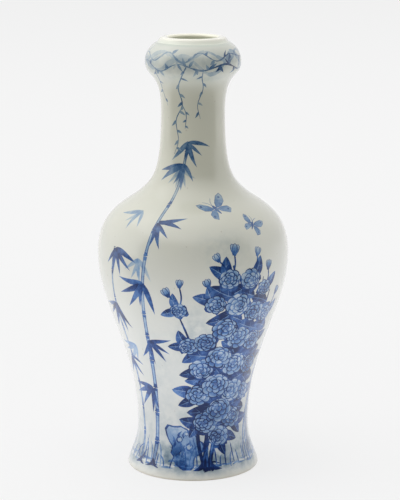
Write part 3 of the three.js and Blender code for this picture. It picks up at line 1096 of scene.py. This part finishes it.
glaze = {  # heights and reaches in metres, depths of cobalt as in the painting
    # lower and upper: partly the glaze's own tone, partly painted light and shade, lighter and bluer toward
    # the foot where the white floor lights it, darker toward the top
    "lower": (0.79, 0.805, 0.785), "upper": (0.645, 0.645, 0.535), "turnsAt": (0.05, 0.17), "drift": 0.03,
    "head": (0.67, 0.69, 0.615), "headFrom": (0.196, 0.207),
    # inside: painted light in the throat, a paler glaze standing in for light that falls into the mouth; its
    # cream is partly the glaze's own tone
    "rim": (0.97, 0.955, 0.84), "inside": (0.98, 0.95, 0.76), "throatLightFrom": (0.18, 0.2), "mouthEdge": 0.0012,
    "pool": (0.8, 0.85, 0.83), "poolReach": 0.002,
    "line": (0.33, 0.515, 0.882), "blueRise": 1.6, "deepest": 5.2, "haze": (0.40, 0.49, 0.58),
    "greyer": (0.1, 0.19), "hazeGain": 0.5, "depthLoss": 0.6,  # what the cobalt does toward the mouth
    "bare": (0.78, 0.74, 0.64), "bareTo": 0.0004, "singe": (0.8, 0.66, 0.48), "singedTo": 0.0011,
    "wiped": (0.001, 0.0065), "edge": (0.93, 0.92, 0.84),
    "speck": (0.30, 0.24, 0.17), "speckAt": (0.83, 0.88), "speckShare": 0.25,
    "roughness": 0.24, "rougher": {"clouds": 0.12, "cobalt": 0.02, "bare": 0.45}, "coat": 0.075,
    "ringsPerMetre": 1300, "bump": {"Strength": 0.12, "Distance": 0.0006},
    "clouds": {  # scale, detail and roughness of each noise
        "fine": (1500, 3, 0.5), "broad": (30, 3, 0.5), "mottle": (170, 5, 0.62), "speck": (600, 0, 0.5),
        "gloss": (45, 4, 0.5), "wiping": (260, 3, 0.5), "waver": (12, 2, 0.5), "peel": (75, 2, 0.5),
        "grain": (700, 2, 0.5)},
}


def newMaterial(name):
    material = bpy.data.materials.new(name)
    material.use_nodes = True
    material.node_tree.nodes.clear()
    return material, material.node_tree


def cloud(tree, where, name):
    scale, detail, roughness = glaze["clouds"][name]
    sockets = {"Vector": where, "Scale": scale, "Detail": detail, "Roughness": roughness}
    return added(tree, "ShaderNodeTexNoise", {}, sockets)


def mixed(tree, old, new, share):  # two colours
    old, new = (c if isinstance(c, Wire) else (*c, 1) for c in (old, new))
    return added(tree, "ShaderNodeMix", {"data_type": "RGBA"}, {0: share, 6: old, 7: new}, 2)


def tinted(tree, colour, tint):
    return added(tree, "ShaderNodeVectorMath", {"operation": "MULTIPLY"}, {0: colour, 1: tint})


def scaled(tree, colour, amount):
    return added(tree, "ShaderNodeVectorMath", {"operation": "SCALE"}, {0: colour, "Scale": amount})


def cobaltOver(tree, ground, where, height):  # what the painting lets through, and its depth
    fine, mottle = cloud(tree, where, "fine"), cloud(tree, where, "mottle")
    stroke, wash = (added(tree, "ShaderNodeAttribute", {"attribute_name": name}, out="Fac")
                    for name in ("cobalt", "wash"))
    depth = stroke * (0.72 + 0.56 * fine) * mottle.ramp(0.3, 0.7, 0.6, 1.4)
    haze = wash * mottle.ramp(0.28, 0.75, 0.2, 2.0) * height.ramp(*glaze["wiped"], 0.15, 1.0)
    depth = depth.maths("MINIMUM", glaze["deepest"])
    grey = height.ramp(*glaze["greyer"])  # toward the mouth the cobalt is thinned and greyer
    haze = haze + glaze["hazeGain"] * grey * depth
    depth = depth * (1 - glaze["depthLoss"] * grey)
    blue = depth.maths("POWER", glaze["blueRise"])  # a thin stroke hardly takes blue away
    passed = [line**deep * thin**haze
              for line, thin, deep in zip(glaze["line"], glaze["haze"], (depth, depth, blue))]
    return tinted(tree, ground, added(tree, "ShaderNodeCombineColor", {}, dict(enumerate(passed)))), depth


def porcelain(name, kind):
    material, tree = newMaterial(name)
    where = added(tree, "ShaderNodeTexCoord", out="Object")
    x, y, height = partsOf(tree, where)
    squared = x * x + y * y
    collar, hole = cad["mouth_rim"]["low"] * mm, outline["mouthRadius"] * mm
    # painted light: inside the mouth the glaze turns paler and creamier, standing in for the light that falls
    # into the throat
    throatLight = squared.maths("SQRT").ramp(hole, hole + glaze["mouthEdge"], 1.0, 0.0)
    throatLight = throatLight * height.ramp(*glaze["throatLightFrom"])
    broad = cloud(tree, where, "broad")
    # the rim's glaze: cream in tone, and paler than the body glaze as painted light on the lip and collar
    colour = glaze["rim"]
    if kind != "rim":
        # painted light and shade with the glaze's tone: lighter and bluer toward the foot, darker and warmer
        # toward the top
        up = (height + glaze["drift"] * (broad - 0.5)).ramp(*glaze["turnsAt"])
        colour = mixed(tree, glaze["lower"], glaze["upper"], up)
        colour = mixed(tree, colour, glaze["head"], height.ramp(*glaze["headFrom"]))
    colour = mixed(tree, colour, glaze["inside"], throatLight)
    pool = height.ramp(collar - glaze["poolReach"], collar)
    pool = pool * height.ramp(collar, collar + glaze["poolReach"], 1.0, 0.0)
    colour = mixed(tree, colour, tinted(tree, colour, glaze["pool"]), pool)
    colour = scaled(tree, colour, 0.97 + 0.06 * broad)
    speck = cloud(tree, where, "speck").ramp(*glaze["speckAt"])
    colour = mixed(tree, colour, glaze["speck"], glaze["speckShare"] * speck)
    rougher = glaze["rougher"]
    roughness = glaze["roughness"] - rougher["clouds"] / 2 + rougher["clouds"] * cloud(tree, where, "gloss")
    coat = 1.0
    if kind != "rim":
        colour = mixed(tree, glaze["edge"], colour, height.ramp(0.0, glaze["wiped"][1]))
        colour, depth = cobaltOver(tree, colour, where, height)
        roughness = roughness + rougher["cobalt"] * depth
    if kind == "foot":
        edge = height - glaze["bareTo"] * (0.6 + 0.8 * cloud(tree, where, "wiping"))
        singed, bare = edge.ramp(0.0, glaze["singedTo"], 1.0, 0.0), edge.ramp(-0.0001, 0.0001, 1.0, 0.0)
        colour = mixed(tree, colour, tinted(tree, colour, glaze["singe"]), 0.35 * singed)
        colour = mixed(tree, colour, glaze["bare"], bare)
        roughness, coat = roughness + rougher["bare"] * bare, 1 - bare
    rings = (height * glaze["ringsPerMetre"] + 5 * cloud(tree, where, "waver")).maths("SINE")
    ripple = cloud(tree, where, "peel") + 0.12 * cloud(tree, where, "grain") + 0.05 * rings
    bump = added(tree, "ShaderNodeBump", {}, {**glaze["bump"], "Height": ripple})
    shader = added(tree, "ShaderNodeBsdfPrincipled", {}, {
        "Base Color": colour, "Roughness": roughness, "Normal": bump, "IOR": 1.5,
        "Coat Weight": coat, "Coat Roughness": glaze["coat"], "Coat IOR": 1.5})
    added(tree, "ShaderNodeOutputMaterial", {}, {"Surface": shader}, None)
    return material


paintedGlaze = porcelain("painted body glaze", "body")
# the rim glaze is cream and made paler as painted light on the lip and collar
rimGlaze = porcelain("cream rim glaze with painted light", "rim")
footGlaze = porcelain("foot glaze", "foot")

finishes = {
    "foot_ring": (footGlaze, "foot_glaze"), "lower_body": (paintedGlaze, "painted_glaze"),
    "upper_body": (paintedGlaze, "painted_glaze"), "neck": (paintedGlaze, "painted_glaze"),
    "garlic_bulb": (paintedGlaze, "painted_glaze"), "mouth_rim": (rimGlaze, "rim_glaze"),
}
for name, (material, slotName) in finishes.items():
    piece = turnedPiece(name, material)
print("vase turned and painted")


# Floor, light and camera

studio = {
    # brightness of what is seen, and how far off each change lies in metres
    "white": 0.92, "far": 0.875, "fadesOver": (0.5, 3.5), "paper": 0.86, "beyond": 0.12,
    "paperEnds": (-0.75, -0.45), "mirroredFrom": (-0.14, 0.04), "shadow": 0.2, "shadowOver": (0.05, 0.5),
    # the white tent, as parts of a unit direction, with its dark opening toward the camera
    "left": 1.08, "right": 0.73, "leftToRight": (-0.5, 0.5), "back": 0.8, "backFrom": (0.4, 0.95),
    "opening": 0.03, "lean": 2.5, "openingEdge": (0.23, 0.37), "openingTop": (0.45, 0.75),
    # each soft box: direction round from the camera's side, height angle, distance, width, height,
    # brightness, and whether the glaze mirrors it
    "boxes": {
        "over box": (0, 86, 1.2, 0.9, 0.9, 1.05, False),
        "top fill": (-55, 66, 1.1, 0.9, 0.9, 0.95, False),
        "upper left box": (-95, 52, 1.2, 0.8, 0.5, 0.5, True)},
    "table": (0.0, -0.125, 0.002, 0.5, 0.12, 0.85),  # place, width, depth and brightness of its glow
    "lens": 135.5, "sensor": 36, "shift": 0.014, "camera": (0, -0.9548, 0.3177), "downward": 12.03,
}


def buildFloor():
    material, tree = newMaterial("floor")
    where = added(tree, "ShaderNodeTexCoord", out="Object")
    away = added(tree, "ShaderNodeVectorMath", {"operation": "LENGTH"}, {0: where}, "Value")
    camera, glossy, through = added(tree, "ShaderNodeLightPath",
                                    out=("Is Camera Ray", "Is Glossy Ray", "Is Transmission Ray"))
    seen = camera.maths("MAXIMUM", glossy.maths("MAXIMUM", through))
    _, depth, _ = partsOf(tree, where)
    paper = depth.ramp(*studio["paperEnds"])  # the white sweep ends in front of the vase, out of the picture
    gleam = depth.ramp(*studio["mirroredFrom"])  # and the glaze mirrors less of it toward the front
    shadow = away.ramp(*studio["shadowOver"], studio["shadow"], 0.0)
    white = away.ramp(*studio["fadesOver"], studio["white"], studio["far"])
    white = white * camera.maths("MAXIMUM", gleam)
    grey = paper * (studio["paper"] - studio["beyond"]) + studio["beyond"]
    lit = added(tree, "ShaderNodeBsdfDiffuse", {}, {"Color": grey})
    plain = added(tree, "ShaderNodeEmission", {}, {"Color": white, "Strength": 1.0})
    surface = added(tree, "ShaderNodeMixShader", {}, {0: seen * (1 - shadow), 1: lit, 2: plain})
    added(tree, "ShaderNodeOutputMaterial", {}, {"Surface": surface}, None)
    mesh = bpy.data.meshes.new("floor")
    mesh.from_pydata([(6 * math.cos(t), 6 * math.sin(t), 0) for t in around(64)], [], [range(64)])
    mesh.materials.append(material)
    floor = newObject("floor", mesh)


def buildWorld():
    world = bpy.data.worlds.new("studio")
    bpy.context.scene.world = world
    world.use_nodes = True
    tree = world.node_tree
    tree.nodes.clear()
    x, y, z = partsOf(tree, added(tree, "ShaderNodeTexCoord", out="Generated"))
    lean = math.radians(studio["lean"])
    opening = (x * math.sin(lean) - y * math.cos(lean)).ramp(*studio["openingEdge"])
    opening = opening * z.ramp(*studio["openingTop"], 1.0, 0.0)
    side = x.ramp(*studio["leftToRight"], studio["left"], studio["right"])
    side = side + y.ramp(*studio["backFrom"]) * (studio["back"] - side)
    tent = side * (1 - opening) + opening * studio["opening"]
    camera, through = added(tree, "ShaderNodeLightPath", out=("Is Camera Ray", "Is Transmission Ray"))
    seen = camera.maths("MAXIMUM", through)
    strength = tent * (1 - seen) + seen * studio["far"]
    shader = added(tree, "ShaderNodeBackground", {}, {"Color": (1, 1, 1, 1), "Strength": strength})
    added(tree, "ShaderNodeOutputWorld", {}, {"Surface": shader}, None)


def softBox(name, place, target, width, height, brightness, mirrored):
    lamp = bpy.data.lights.new(name, "AREA")
    lamp.shape, lamp.size, lamp.size_y = "RECTANGLE", width, height
    lamp.energy = brightness * math.pi * width * height
    holder = newObject(name, lamp)
    holder.location = place
    holder.rotation_euler = (Vector(target) - Vector(place)).to_track_quat("-Z", "Y").to_euler()
    holder.visible_camera = False
    holder.visible_glossy = mirrored


def buildLights():
    x, y, z, *sizes = studio["table"]
    softBox("table glow", (x, y, z), (x, y, 1), *sizes, mirrored=False)
    centre = Vector((0, 0, 0.11))
    for name, (turn, lift, distance, *sizes) in studio["boxes"].items():
        turn, lift = math.radians(turn), math.radians(lift)
        out = Vector((math.sin(turn) * math.cos(lift), -math.cos(turn) * math.cos(lift), math.sin(lift)))
        softBox(name, centre + out * distance, centre, *sizes)


def buildCamera():
    data = bpy.data.cameras.new("camera")
    data.lens, data.sensor_width, data.shift_x = studio["lens"], studio["sensor"], studio["shift"]
    data.clip_start, data.clip_end = 0.05, 50
    camera = newObject("camera", data)
    camera.location = studio["camera"]
    camera.rotation_euler = (math.radians(90 - studio["downward"]), 0, 0)
    bpy.context.scene.camera = camera


buildFloor()
buildWorld()
buildLights()
buildCamera()
bpy.context.scene.view_settings.view_transform = "Standard"
print("studio ready")
